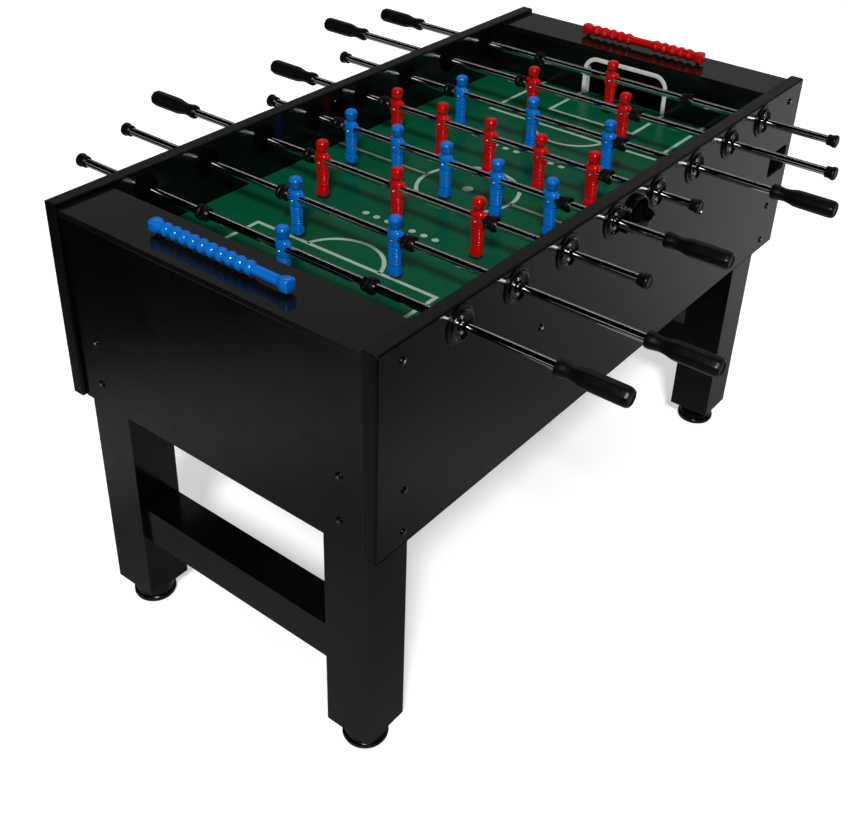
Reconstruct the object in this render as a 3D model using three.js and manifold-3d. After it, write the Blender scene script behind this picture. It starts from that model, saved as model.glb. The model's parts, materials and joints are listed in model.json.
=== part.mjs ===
// Foosball table: a box cabinet on four posts, with eight player rods that slide and spin.
// Millimetres. X runs along the table, Y runs along the rods, Z is up and the floor is z = 0.
// The blue goal is at the -X end and the red goal at the +X end. The front is the -Y side.
import * as THREE from 'three';
import { mergeVertices } from 'three/addons/utils/BufferGeometryUtils.js';
import Module from 'manifold-3d';

const wasm = await Module();
wasm.setup();

// ---------------------------------------------------------------- driving dimensions

// Cabinet
const TABLE_LENGTH = 1440;
const TABLE_WIDTH = 740;
const PANEL_THICKNESS = 30;
const PANEL_TOP = 906;
const PANEL_HEIGHT = 396;
const PANEL_EDGE_RADIUS = 4;
const INNER_HALF_WIDTH = TABLE_WIDTH / 2 - PANEL_THICKNESS;
const PANEL_BOTTOM = PANEL_TOP - PANEL_HEIGHT;
const FIT_GAP = 0.3;
const SPAN_HALF = INNER_HALF_WIDTH - FIT_GAP;

// Ends of the cabinet
const END_PANEL_RECESS = 8;
const END_PANEL_THICKNESS = 12;
const SHELF_RECESS = 3;
const SHELF_DROP = 9;
const SHELF_THICKNESS = 12;
const SHELF_TOP = PANEL_TOP - SHELF_DROP;
const SHELF_BOTTOM = SHELF_TOP - SHELF_THICKNESS;
const END_PANEL_OUTER = TABLE_LENGTH / 2 - END_PANEL_RECESS;
const END_PANEL_INNER = END_PANEL_OUTER - END_PANEL_THICKNESS;

// Playing field and goals
const FIELD_HALF_LENGTH = 600;
const FIELD_TOP = 784;
const FIELD_THICKNESS = 16;
const GOAL_WALL_THICKNESS = 15;
const GOAL_HALF_WIDTH = 100;
const GOAL_HEIGHT = 82;
const GOAL_CORNER_RADIUS = 25;
const GOAL_RIM_WIDTH = 10;
const GOAL_RIM_PROUD = 2;

// Ball return behind each goal, and the slot where the ball comes out
const CHUTE_THICKNESS = 8;
const CHUTE_LOW = 708;
const CHUTE_HIGH = 764;
const RETURN_SLOT = { xMin: 618, xMax: 695, zMin: 706, zMax: 758 };

// Ball serving cup at the middle of each side panel
const CUP_RADIUS = 36;
const CUP_BASE_RADIUS = 28;
const CUP_BOTTOM = 825;
const CUP_RIM = 856;
const CUP_WALL = 3;
const CUP_FLOOR = 837;
const CUP_PLATE_RADIUS = 36.5;
const CUP_PLATE_CENTRE = 854;
const CUP_PLATE_THICKNESS = 4;
const SERVE_HOLE_RADIUS = 28;

// Legs, stretchers and levelling feet
const LEG_SIZE = 98;
const LEG_OUTER_X = END_PANEL_INNER - FIT_GAP;
const LEG_OUTER_Y = SPAN_HALF;
const LEG_BOTTOM = 44;
const LEG_TOP = 690;
const STRETCHER_WIDTH = 77;
const STRETCHER_HEIGHT = 81;
const STRETCHER_BOTTOM = 191;
const FOOT_RADIUS = 43;

// Rods
const ROD_PITCH = 150;
const ROD_HEIGHT = 868;
const ROD_RADIUS = 8;
const ROD_BORE_RADIUS = 6;
const STOP_RADIUS = 14;
const STOP_LENGTH = 22;
const BUSH_OUTER_RADIUS = 10.5;
const BUSH_HOLE_RADIUS = 10.9;
const PLAIN_HOLE_RADIUS = 8.7;
const RUNNING_RADIUS = 8.4;
const BUSH_INNER_END = 327;
const BUSH_OUTER_END = 373;
const HANDLE_LENGTH = 123;
const HANDLE_SOCKET = 100;
const HANDLE_SOCKET_RADIUS = 8.9;
const CAP_LENGTH = 20;
const CAP_SOCKET = 15;

// Score counters on the end shelves
const COUNTER_X = 664;
const COUNTER_AXIS = 913;
const COUNTER_KNOB_CENTRE = 143;
const COUNTER_KNOB_LENGTH = 24;
const COUNTER_KNOB_RADIUS = 12;
const COUNTER_RAIL_RADIUS = 9.3;
const BEAD_RADIUS = 13;
const BEAD_BORE_RADIUS = 9.8;
const BEAD_PITCH = 21;
const BEADS_PER_TEAM = 10;

// What each kind of rod carries. Distances are along the rod from the middle of its players.
const ROW_TYPES = {
  goalkeeper: { players: 1, spacing: 0, stopCentre: 190, handleEnd: 665, capEnd: 527 },
  defence: { players: 2, spacing: 230, stopCentre: 145, handleEnd: 724, capEnd: 581 },
  attack: { players: 3, spacing: 184, stopCentre: 213, handleEnd: 658, capEnd: 525 },
  midfield: { players: 5, spacing: 120, stopCentre: 271, handleEnd: 597, capEnd: 467 },
};

// The rods from the blue goal to the red one, with how far each is pushed along +Y.
const RODS = [
  { team: 'blue', row: 'goalkeeper', shift: -2.5 },
  { team: 'blue', row: 'defence', shift: -5.5 },
  { team: 'red', row: 'attack', shift: -1.5 },
  { team: 'blue', row: 'midfield', shift: 1 },
  { team: 'red', row: 'midfield', shift: 5 },
  { team: 'blue', row: 'attack', shift: 4.5 },
  { team: 'red', row: 'defence', shift: -11.5 },
  { team: 'red', row: 'goalkeeper', shift: -7 },
];

// ---------------------------------------------------------------- materials

const LOOKS = {
  laminate: { color: 0x1c1c1e, roughness: 0.35, metalness: 0 },
  shelf: { color: 0x2a2826, roughness: 0.25, metalness: 0 },
  field: { color: 0x0c6b42, roughness: 0.5, metalness: 0 },
  blackPlastic: { color: 0x121213, roughness: 0.4, metalness: 0 },
  rubber: { color: 0x161616, roughness: 0.8, metalness: 0 },
  steel: { color: 0xd8dadd, roughness: 0.15, metalness: 1 },
  blue: { color: 0x1060c8, roughness: 0.25, metalness: 0 },
  red: { color: 0xc8101c, roughness: 0.25, metalness: 0 },
};

function namedMesh(name, geometry, look) {
  const mesh = new THREE.Mesh(geometry, new THREE.MeshStandardMaterial(LOOKS[look]));
  mesh.name = name;
  return mesh;
}

// ---------------------------------------------------------------- shape helpers

function box(xMin, xMax, yMin, yMax, zMin, zMax) {
  const geometry = new THREE.BoxGeometry(xMax - xMin, yMax - yMin, zMax - zMin);
  return geometry.translate((xMin + xMax) / 2, (yMin + yMax) / 2, (zMin + zMax) / 2);
}

// A shape drawn in the Y-Z plane and extruded along +X from xStart.
function extrudeAlongX(shape, xStart, depth, curveSegments = 4) {
  const geometry = new THREE.ExtrudeGeometry(shape, { depth, bevelEnabled: false, curveSegments });
  const toWorld = new THREE.Matrix4().makeBasis(
    new THREE.Vector3(0, 1, 0),
    new THREE.Vector3(0, 0, 1),
    new THREE.Vector3(1, 0, 0),
  );
  return geometry.applyMatrix4(toWorld).translate(xStart, 0, 0);
}

// A shape drawn in the X-Z plane and extruded along -Y from yStart.
function extrudeAlongMinusY(shape, yStart, depth, curveSegments = 6) {
  const geometry = new THREE.ExtrudeGeometry(shape, { depth, bevelEnabled: false, curveSegments });
  return geometry.rotateX(Math.PI / 2).translate(0, yStart, 0);
}

// A cylinder whose axis runs along Y through (x, z).
function cylinderAlongY(x, z, radius, yMin, yMax, segments = 16) {
  const geometry = new THREE.CylinderGeometry(radius, radius, yMax - yMin, segments);
  return geometry.translate(x, (yMin + yMax) / 2, z);
}

function lathe(profile, segments) {
  const points = profile.map(([radius, height]) => new THREE.Vector2(radius, height));
  return new THREE.LatheGeometry(points, segments);
}

function toSolid(geometry) {
  const bare = geometry.clone();
  bare.deleteAttribute('normal');
  bare.deleteAttribute('uv');
  const merged = mergeVertices(bare, 1e-4);
  return new wasm.Manifold(new wasm.Mesh({
    numProp: 3,
    vertProperties: new Float32Array(merged.attributes.position.array),
    triVerts: new Uint32Array(merged.index.array),
  }));
}

function toGeometry(solid) {
  const mesh = solid.getMesh();
  const geometry = new THREE.BufferGeometry();
  geometry.setAttribute('position', new THREE.BufferAttribute(mesh.vertProperties, 3));
  geometry.setIndex(new THREE.BufferAttribute(mesh.triVerts, 1));
  geometry.computeVertexNormals();
  return geometry;
}

function subtractAll(base, cutters) {
  return toGeometry(cutters.reduce((solid, cutter) => solid.subtract(toSolid(cutter)), toSolid(base)));
}

function joinAll(base, additions) {
  return toGeometry(additions.reduce((solid, addition) => solid.add(toSolid(addition)), toSolid(base)));
}

// Something made once for one end or side, and once more turned half a turn about Z.
function turnedHalf(build, turned) {
  const group = new THREE.Group();
  group.rotation.z = turned ? Math.PI : 0;
  group.add(...build());
  return group;
}

// ---------------------------------------------------------------- cabinet

const rodX = (index) => (index - (RODS.length - 1) / 2) * ROD_PITCH;
const handleIsInFront = (rod) => rod.team === 'blue';

// Opening with a half-round top, in the X-Z plane.
function archedOpening(radius, centreHeight, bottom) {
  const shape = new THREE.Shape();
  shape.moveTo(-radius, bottom);
  shape.lineTo(radius, bottom);
  shape.lineTo(radius, centreHeight);
  shape.absarc(0, centreHeight, radius, 0, Math.PI, false);
  shape.closePath();
  return shape;
}

// The front side panel. The back one is the same panel turned round.
function sidePanelGeometry() {
  const outer = -TABLE_WIDTH / 2;
  const inner = outer + PANEL_THICKNESS;
  const radius = PANEL_EDGE_RADIUS;
  const section = new THREE.Shape();
  section.moveTo(outer, PANEL_BOTTOM);
  section.lineTo(inner, PANEL_BOTTOM);
  section.lineTo(inner, PANEL_TOP - radius);
  section.absarc(inner - radius, PANEL_TOP - radius, radius, 0, Math.PI / 2, false);
  section.lineTo(outer + radius, PANEL_TOP);
  section.absarc(outer + radius, PANEL_TOP - radius, radius, Math.PI / 2, Math.PI, false);
  section.closePath();
  const board = extrudeAlongX(section, -TABLE_LENGTH / 2, TABLE_LENGTH, 2);

  const cutStart = inner + 5;
  const cutEnd = outer - 5;
  const holes = RODS.map((rod, index) => {
    const radius = handleIsInFront(rod) ? BUSH_HOLE_RADIUS : PLAIN_HOLE_RADIUS;
    return cylinderAlongY(rodX(index), ROD_HEIGHT, radius, cutEnd, cutStart);
  });
  const slot = box(RETURN_SLOT.xMin, RETURN_SLOT.xMax, cutEnd, cutStart, RETURN_SLOT.zMin, RETURN_SLOT.zMax);
  const serveHole = extrudeAlongMinusY(
    archedOpening(SERVE_HOLE_RADIUS, CUP_PLATE_CENTRE, CUP_FLOOR),
    cutStart,
    cutStart - cutEnd,
  );
  return subtractAll(board, [...holes, slot, serveHole]);
}

// Half-bowl that holds a ball outside the panel, with an arched plate around the serving hole.
function servingCupGeometry() {
  const face = -TABLE_WIDTH / 2 - FIT_GAP;
  const bowl = lathe([
    [0, CUP_BOTTOM],
    [CUP_BASE_RADIUS - 8, CUP_BOTTOM],
    [CUP_BASE_RADIUS, CUP_BOTTOM + 4],
    [CUP_RADIUS, CUP_RIM],
    [0, CUP_RIM],
  ], 20).rotateX(Math.PI / 2).translate(0, face, 0);
  const hollow = lathe([
    [0, CUP_FLOOR],
    [CUP_BASE_RADIUS, CUP_FLOOR],
    [CUP_RADIUS - CUP_WALL, CUP_RIM],
    [CUP_RADIUS - CUP_WALL, CUP_RIM + 5],
    [0, CUP_RIM + 5],
  ], 20).rotateX(Math.PI / 2).translate(0, face, 0);
  const reach = CUP_RADIUS + 5;
  const insidePanel = box(-reach, reach, face, face + reach, CUP_BOTTOM - 5, CUP_RIM + 10);
  const plate = extrudeAlongMinusY(
    archedOpening(CUP_PLATE_RADIUS, CUP_PLATE_CENTRE, CUP_BOTTOM + 4),
    face,
    CUP_PLATE_THICKNESS,
  );
  const hole = extrudeAlongMinusY(
    archedOpening(SERVE_HOLE_RADIUS, CUP_PLATE_CENTRE, CUP_FLOOR),
    face + 5,
    CUP_PLATE_THICKNESS + 10,
  );
  const shell = joinAll(bowl, [plate]);
  return subtractAll(shell, [hollow, insidePanel, hole]);
}

function sideParts(side) {
  return [
    namedMesh(`side_panel_${side}`, sidePanelGeometry(), 'laminate'),
    namedMesh(`serving_cup_${side}`, servingCupGeometry(), 'blackPlastic'),
  ];
}

// ---------------------------------------------------------------- ends of the table

// Outline of the goal mouth in the Y-Z plane, grown outwards by a margin.
function traceGoal(path, margin) {
  const half = GOAL_HALF_WIDTH + margin;
  const top = FIELD_TOP + GOAL_HEIGHT + margin;
  const radius = GOAL_CORNER_RADIUS + margin;
  path.lineTo(-half, FIELD_TOP + FIT_GAP);
  path.lineTo(-half, top - radius);
  path.absarc(-half + radius, top - radius, radius, Math.PI, Math.PI / 2, true);
  path.lineTo(half - radius, top);
  path.absarc(half - radius, top - radius, radius, Math.PI / 2, 0, true);
  path.lineTo(half, FIELD_TOP + FIT_GAP);
}

// Board behind the field with the goal mouth cut in it, and the raised rim round the mouth.
function goalWallGeometry() {
  const bottom = FIELD_TOP + FIT_GAP;
  const top = SHELF_BOTTOM - FIT_GAP;
  const wall = new THREE.Shape();
  wall.moveTo(-SPAN_HALF, bottom);
  traceGoal(wall, 0);
  wall.lineTo(SPAN_HALF, bottom);
  wall.lineTo(SPAN_HALF, top);
  wall.lineTo(-SPAN_HALF, top);
  wall.closePath();

  const outer = new THREE.Shape();
  outer.moveTo(-GOAL_HALF_WIDTH - GOAL_RIM_WIDTH, bottom);
  traceGoal(outer, GOAL_RIM_WIDTH);
  outer.closePath();
  const mouth = new THREE.Shape();
  mouth.moveTo(-GOAL_HALF_WIDTH, bottom);
  traceGoal(mouth, 0);
  mouth.closePath();

  const board = extrudeAlongX(wall, FIELD_HALF_LENGTH, GOAL_WALL_THICKNESS);
  const band = extrudeAlongX(outer, FIELD_HALF_LENGTH - GOAL_RIM_PROUD, GOAL_RIM_PROUD + 1);
  const through = extrudeAlongX(mouth, FIELD_HALF_LENGTH - 20, 60).translate(0, 0, -0.01);
  return subtractAll(joinAll(board, [band]), [through]);
}

// Sloping floor that carries a scored ball to the return slot in the front panel.
function chuteGeometry() {
  const slope = new THREE.Shape();
  slope.moveTo(-SPAN_HALF, CHUTE_LOW - CHUTE_THICKNESS);
  slope.lineTo(SPAN_HALF, CHUTE_HIGH - CHUTE_THICKNESS);
  slope.lineTo(SPAN_HALF, CHUTE_HIGH);
  slope.lineTo(-SPAN_HALF, CHUTE_LOW);
  slope.closePath();
  const start = FIELD_HALF_LENGTH + GOAL_WALL_THICKNESS + FIT_GAP;
  return extrudeAlongX(slope, start, END_PANEL_INNER - FIT_GAP - start);
}

// Bar with a knob at each end, standing on the shelf on two short posts.
function counterRailGeometry() {
  const knobStart = COUNTER_KNOB_CENTRE - COUNTER_KNOB_LENGTH / 2;
  const knobEnd = COUNTER_KNOB_CENTRE + COUNTER_KNOB_LENGTH / 2;
  const half = [
    [COUNTER_RAIL_RADIUS, knobStart],
    [COUNTER_KNOB_RADIUS, knobStart + 8],
    [COUNTER_KNOB_RADIUS, knobEnd - 2],
    [COUNTER_KNOB_RADIUS - 2, knobEnd],
    [0, knobEnd],
  ];
  const mirrored = half.map(([radius, y]) => [radius, -y]).reverse();
  const bar = lathe([...mirrored, ...half], 14).translate(COUNTER_X, 0, COUNTER_AXIS);
  const posts = [-1, 1].map((sign) => {
    const post = new THREE.CylinderGeometry(7, 7, COUNTER_AXIS - SHELF_TOP - FIT_GAP, 10);
    post.rotateX(Math.PI / 2);
    const middle = (COUNTER_AXIS + SHELF_TOP + FIT_GAP) / 2;
    return post.translate(COUNTER_X, sign * COUNTER_KNOB_CENTRE, middle);
  });
  return joinAll(bar, posts);
}

// A run of touching counter beads, from yStart towards +Y.
function beadsGeometry(count, yStart) {
  const profile = [[BEAD_BORE_RADIUS, 0]];
  for (let bead = 0; bead < count; bead += 1) {
    const start = bead * BEAD_PITCH;
    profile.push([BEAD_RADIUS - 2.5, start + (bead === 0 ? 0 : 0.01)]);
    profile.push([BEAD_RADIUS, start + 3.5]);
    profile.push([BEAD_RADIUS, start + BEAD_PITCH - 3.5]);
    profile.push([BEAD_RADIUS - 2.5, start + BEAD_PITCH]);
  }
  profile.push([BEAD_BORE_RADIUS, count * BEAD_PITCH]);
  profile.push([BEAD_BORE_RADIUS, 0]);
  return lathe(profile, 12).translate(COUNTER_X, yStart, COUNTER_AXIS);
}

// Everything at the red end. The blue end is the same set turned round, apart from its beads.
function endParts(end) {
  const knobFace = COUNTER_KNOB_CENTRE - COUNTER_KNOB_LENGTH / 2 - FIT_GAP;
  const stretcherX = LEG_OUTER_X - (LEG_SIZE - STRETCHER_WIDTH) / 2;
  const stretcherY = LEG_OUTER_Y - LEG_SIZE - FIT_GAP;
  const parts = [
    namedMesh(
      `end_panel_${end}_end`,
      box(END_PANEL_INNER, END_PANEL_OUTER, -SPAN_HALF, SPAN_HALF, PANEL_BOTTOM, SHELF_BOTTOM - FIT_GAP),
      'laminate',
    ),
    namedMesh(
      `shelf_${end}_end`,
      box(
        FIELD_HALF_LENGTH,
        TABLE_LENGTH / 2 - SHELF_RECESS,
        -SPAN_HALF,
        SPAN_HALF,
        SHELF_BOTTOM,
        SHELF_TOP,
      ),
      'shelf',
    ),
    namedMesh(`goal_wall_${end}_end`, goalWallGeometry(), 'laminate'),
    namedMesh(`ball_chute_${end}_end`, chuteGeometry(), 'blackPlastic'),
    namedMesh(
      `stretcher_${end}_end`,
      box(
        stretcherX - STRETCHER_WIDTH,
        stretcherX,
        -stretcherY,
        stretcherY,
        STRETCHER_BOTTOM,
        STRETCHER_BOTTOM + STRETCHER_HEIGHT,
      ),
      'laminate',
    ),
    namedMesh(`score_rail_${end}`, counterRailGeometry(), end),
  ];
  if (end === 'blue') {
    // All ten blue beads are pushed to one end of their rail.
    parts.push(namedMesh('score_beads_blue', beadsGeometry(BEADS_PER_TEAM, -knobFace), 'blue'));
  } else {
    // The red beads are split five and five, with the gap between the two runs.
    const half = BEADS_PER_TEAM / 2;
    parts.push(namedMesh('score_beads_red_front', beadsGeometry(half, -knobFace), 'red'));
    parts.push(namedMesh('score_beads_red_back', beadsGeometry(half, knobFace - half * BEAD_PITCH), 'red'));
  }
  return parts;
}

// ---------------------------------------------------------------- legs and feet

function footGeometry() {
  const top = LEG_BOTTOM - FIT_GAP;
  return lathe([
    [0, 0],
    [FOOT_RADIUS - 5, 0],
    [FOOT_RADIUS, 5],
    [FOOT_RADIUS, top - 12],
    [FOOT_RADIUS - 8, top],
    [0, top],
  ], 20).rotateX(Math.PI / 2);
}

function legParts() {
  const centreX = LEG_OUTER_X - LEG_SIZE / 2;
  const centreY = LEG_OUTER_Y - LEG_SIZE / 2;
  const half = LEG_SIZE / 2;
  const parts = [];
  for (const [end, signX] of [['blue', -1], ['red', 1]]) {
    for (const [side, signY] of [['front', -1], ['back', 1]]) {
      const post = namedMesh(
        `leg_${side}_${end}_end`,
        box(-half, half, -half, half, LEG_BOTTOM, LEG_TOP),
        'laminate',
      );
      const foot = namedMesh(`foot_${side}_${end}_end`, footGeometry(), 'rubber');
      for (const mesh of [post, foot]) {
        mesh.position.set(signX * centreX, signY * centreY, 0);
        parts.push(mesh);
      }
    }
  }
  return parts;
}

// ---------------------------------------------------------------- rods

// A player hanging feet down, about the rod axis at the origin.
function playerGeometry() {
  const turned = lathe([
    [0, -72],
    [8, -72],
    [11, -57],
    [11, -40],
    [13, -18],
    [15, 0],
    [14, 11],
    [8, 17],
    [13.2, 27],
    [11, 37],
    [0, 41.5],
  ], 8);
  return turned.rotateX(Math.PI / 2).scale(0.85, 1, 1);
}

// The steel tube with its rubber stops and its players. The handle goes on at -Y.
function rodGeometry(row) {
  const handleEnd = -(row.handleEnd - HANDLE_LENGTH) - HANDLE_SOCKET + FIT_GAP;
  const capEnd = row.capEnd - CAP_LENGTH + CAP_SOCKET - FIT_GAP;
  const profile = [[ROD_BORE_RADIUS, handleEnd], [ROD_RADIUS, handleEnd]];
  for (const sign of [-1, 1]) {
    const low = sign * row.stopCentre - STOP_LENGTH / 2;
    const high = low + STOP_LENGTH;
    profile.push([ROD_RADIUS, low], [STOP_RADIUS, low], [STOP_RADIUS, high], [ROD_RADIUS, high]);
  }
  profile.push([ROD_RADIUS, capEnd], [ROD_BORE_RADIUS, capEnd], [ROD_BORE_RADIUS, handleEnd]);
  const tube = lathe(profile, 12);
  const players = [];
  for (let index = 0; index < row.players; index += 1) {
    const y = (index - (row.players - 1) / 2) * row.spacing;
    players.push(playerGeometry().translate(0, y, 0));
  }
  const bore = cylinderAlongY(0, 0, ROD_BORE_RADIUS - 0.02, handleEnd - 5, capEnd + 5, 12);
  return subtractAll(joinAll(tube, players), [bore]);
}

// Grip with a flared collar, a waist and a faceted barrel. Its socket opens towards +Y.
function handleGeometry() {
  return lathe([
    [0, -HANDLE_LENGTH],
    [11, -HANDLE_LENGTH],
    [16, -HANDLE_LENGTH + 6],
    [16, -48],
    [12.5, -24],
    [14.5, -5],
    [13, 0],
    [HANDLE_SOCKET_RADIUS, 0],
    [HANDLE_SOCKET_RADIUS, -HANDLE_SOCKET],
    [0, -HANDLE_SOCKET],
  ], 8);
}

// Small flared cap on the free end of the tube. Its socket opens towards -Y.
function endCapGeometry() {
  return lathe([
    [0, CAP_SOCKET],
    [RUNNING_RADIUS, CAP_SOCKET],
    [RUNNING_RADIUS, 0],
    [10.5, 0],
    [11, 10],
    [13, 17],
    [11, CAP_LENGTH],
    [0, CAP_LENGTH],
  ], 12);
}

// Sleeve bearing in the panel on the handle side.
function bushGeometry() {
  return lathe([
    [RUNNING_RADIUS, -BUSH_OUTER_END],
    [BUSH_OUTER_RADIUS, -BUSH_OUTER_END],
    [BUSH_OUTER_RADIUS, -BUSH_INNER_END],
    [RUNNING_RADIUS, -BUSH_INNER_END],
    [RUNNING_RADIUS, -BUSH_OUTER_END],
  ], 16);
}

function rodParts(rod, index) {
  const row = ROW_TYPES[rod.row];
  const name = `${rod.team}_${rod.row}`;
  const turn = handleIsInFront(rod) ? 0 : Math.PI;

  const bushGroup = new THREE.Group();
  bushGroup.position.set(rodX(index), 0, ROD_HEIGHT);
  bushGroup.rotation.z = turn;
  bushGroup.add(namedMesh(`${name}_bush`, bushGeometry(), 'blackPlastic'));

  const rodGroup = new THREE.Group();
  rodGroup.position.set(rodX(index), rod.shift, ROD_HEIGHT);
  rodGroup.rotation.z = turn;
  const handle = namedMesh(`${name}_handle`, handleGeometry(), 'blackPlastic');
  handle.position.y = -(row.handleEnd - HANDLE_LENGTH);
  const cap = namedMesh(`${name}_end_cap`, endCapGeometry(), 'blackPlastic');
  cap.position.y = row.capEnd - CAP_LENGTH;
  rodGroup.add(namedMesh(`${name}_rod`, rodGeometry(row), 'steel'), handle, cap);
  return [bushGroup, rodGroup];
}

// ---------------------------------------------------------------- assembly

const table = new THREE.Group();
table.add(namedMesh(
  'playing_field',
  box(
    -FIELD_HALF_LENGTH - GOAL_WALL_THICKNESS,
    FIELD_HALF_LENGTH + GOAL_WALL_THICKNESS,
    -SPAN_HALF,
    SPAN_HALF,
    FIELD_TOP - FIELD_THICKNESS,
    FIELD_TOP,
  ),
  'field',
));
table.add(turnedHalf(() => sideParts('front'), false), turnedHalf(() => sideParts('back'), true));
table.add(turnedHalf(() => endParts('red'), false), turnedHalf(() => endParts('blue'), true));
table.add(...legParts());
RODS.forEach((rod, index) => table.add(...rodParts(rod, index)));

export default table;
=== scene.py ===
"""Foosball table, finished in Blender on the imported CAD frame.

Metres, +Z up. X runs from the blue goal to the red goal, Y runs along the rods, and the front is
the -Y side, where the blue handles are.
"""

import json
import math
from math import copysign, cos, pi, radians, sin

import bmesh
import bpy
from mathutils import Matrix, Vector

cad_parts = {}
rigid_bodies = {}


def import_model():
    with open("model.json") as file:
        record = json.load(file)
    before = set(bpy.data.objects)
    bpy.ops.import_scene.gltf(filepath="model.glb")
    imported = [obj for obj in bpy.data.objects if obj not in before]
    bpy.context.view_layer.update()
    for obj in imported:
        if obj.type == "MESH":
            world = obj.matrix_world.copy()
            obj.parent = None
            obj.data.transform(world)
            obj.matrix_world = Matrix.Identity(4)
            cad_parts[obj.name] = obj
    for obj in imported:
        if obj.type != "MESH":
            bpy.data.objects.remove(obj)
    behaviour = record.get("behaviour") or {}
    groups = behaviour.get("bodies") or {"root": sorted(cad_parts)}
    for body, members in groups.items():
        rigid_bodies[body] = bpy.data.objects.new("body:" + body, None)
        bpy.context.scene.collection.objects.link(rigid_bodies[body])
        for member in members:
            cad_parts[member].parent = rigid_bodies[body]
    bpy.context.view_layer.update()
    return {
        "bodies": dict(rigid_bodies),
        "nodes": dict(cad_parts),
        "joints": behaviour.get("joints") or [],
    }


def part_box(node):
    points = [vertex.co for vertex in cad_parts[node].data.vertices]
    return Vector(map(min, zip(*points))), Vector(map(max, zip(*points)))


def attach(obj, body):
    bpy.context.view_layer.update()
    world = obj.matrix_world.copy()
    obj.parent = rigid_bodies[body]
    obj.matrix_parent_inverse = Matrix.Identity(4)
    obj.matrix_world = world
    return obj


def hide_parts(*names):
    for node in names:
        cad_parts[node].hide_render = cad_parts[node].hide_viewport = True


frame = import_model()
scene = bpy.context.scene
MM = 0.001

# ------------------------------------------------------------------ driving dimensions

PANEL_EDGE = 4.5 * MM
BOARD_EDGE = 1.2 * MM
BUSH_HOLE = 10.9 * MM
PLAIN_HOLE = 8.7 * MM
SLOT_EDGES = (618 * MM, 695 * MM, 706 * MM, 758 * MM)

GOAL_HALF_WIDTH = 100 * MM
GOAL_HEIGHT = 82 * MM
GOAL_CORNER = 25 * MM
GOAL_BAND = 10 * MM
GOAL_LINING = 2 * MM

CUP_RADIUS = 36 * MM
CUP_BASE_RADIUS = 28 * MM
CUP_WALL = 3 * MM
CUP_FLOOR = 837 * MM
CUP_RIM = 856 * MM
CUP_CENTRE = 854 * MM
CUP_HOLE = 28 * MM
CUP_PLATE = 36.5 * MM

ROD_RADIUS = 8 * MM
ROD_BORE = 6 * MM
SLEEVE_BORE = 8.4 * MM
FLANGE_RADIUS = 34 * MM
DISH_DEPTH = 3 * MM
FLANGE_SCREWS = 14.2 * MM
STOP_LENGTH = 22 * MM
HANDLE_SOCKET = 100 * MM
INNER_FLANGE_RADIUS = 27 * MM

# Players on each kind of rod, the distance between them, and how far the stops are from the middle.
ROWS = {
    "goalkeeper": (1, 0, 190 * MM),
    "defence": (2, 230 * MM, 145 * MM),
    "attack": (3, 184 * MM, 213 * MM),
    "midfield": (5, 120 * MM, 271 * MM),
}

BEAD_BORE = 9.8 * MM
RAIL_RADIUS = 9.3 * MM
COUNTER_AXIS = 913 * MM
BEAD_PITCH = 21 * MM
BEAD_GAP = 0.5 * MM
BEAD_RADIUS = 13 * MM
BEAD_GROOVE = 10.1 * MM
BEAD_ROUND = 10.5 * MM
BEAD_SPAN = 7.24 * MM

# Printed lines on the field, as distances from its middle.
LINE = 8 * MM
CIRCLE_RADIUS = 103 * MM
SPOT_RADIUS = 11 * MM
BOX_X, BOX_Y = 374.5 * MM, 211 * MM
AREA_X, AREA_Y = 462 * MM, 108 * MM
ARC_CENTRE_X, ARC_RADIUS = 396 * MM, 88 * MM
DOT_X, DOT_RADIUS = 213 * MM, 7 * MM
DOT_YS = (29.5 * MM, 57 * MM, 84 * MM)

# Cabinet bolts: heights above the panels' bottom edge, and places along X and Y.
BOLT_RADIUS, BOLT_HEIGHT, BOLT_SOCKET = 7.6 * MM, 3.6 * MM, 3.4 * MM
LOW_BOLTS, HIGH_BOLTS = 28 * MM, 114 * MM
END_LOW_BOLTS, END_HIGH_BOLTS = 47 * MM, 137 * MM
END_BOLT_Y = 289 * MM
BEARER_BOLT_X = 288 * MM
BEARER_BOLT_DROP = 20 * MM
SHELF_BOLT_DROP = 36 * MM
SHELF_BOLT_SHIFT = 10 * MM

# Screws on the rods: distances from a rod's axis, and along the rod from a stop's middle.
STOP_SCREW_OUT = 12.4 * MM
STOP_SCREW_SHIFT = 5 * MM
PLAYER_BOLT_OUT = 10.6 * MM
PLAYER_BOLT_DROP = 2.5 * MM
SCREW_SOCKET = 1.2 * MM

# ------------------------------------------------------------------ materials


def node_tree(name):
    """A new material with its node tree, its principled shader and a socket of object coordinates."""
    material = bpy.data.materials.new(name)
    material.use_nodes = True
    tree = material.node_tree
    place = tree.nodes.new("ShaderNodeTexCoord").outputs["Object"]
    return material, tree, tree.nodes["Principled BSDF"], place


def noise(tree, place, scale, detail=3.0, stretch=None):
    """Noise over the object, in features per metre, drawn out along an axis if stretch is given."""
    if stretch:
        mapping = tree.nodes.new("ShaderNodeMapping")
        mapping.inputs["Scale"].default_value = stretch
        tree.links.new(place, mapping.inputs["Vector"])
        place = mapping.outputs["Vector"]
    texture = tree.nodes.new("ShaderNodeTexNoise")
    texture.inputs["Scale"].default_value = scale
    texture.inputs["Detail"].default_value = detail
    tree.links.new(place, texture.inputs["Vector"])
    return texture.outputs["Fac"]


def ramp(tree, value, low, high):
    """Colours from low to high as a value goes from 0.35 to 0.65."""
    node = tree.nodes.new("ShaderNodeValToRGB")
    for element, at, colour in zip(node.color_ramp.elements, (0.35, 0.65), (low, high)):
        element.position = at
        element.color = (*colour, 1)
    tree.links.new(value, node.inputs["Fac"])
    return node.outputs["Color"]


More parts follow.
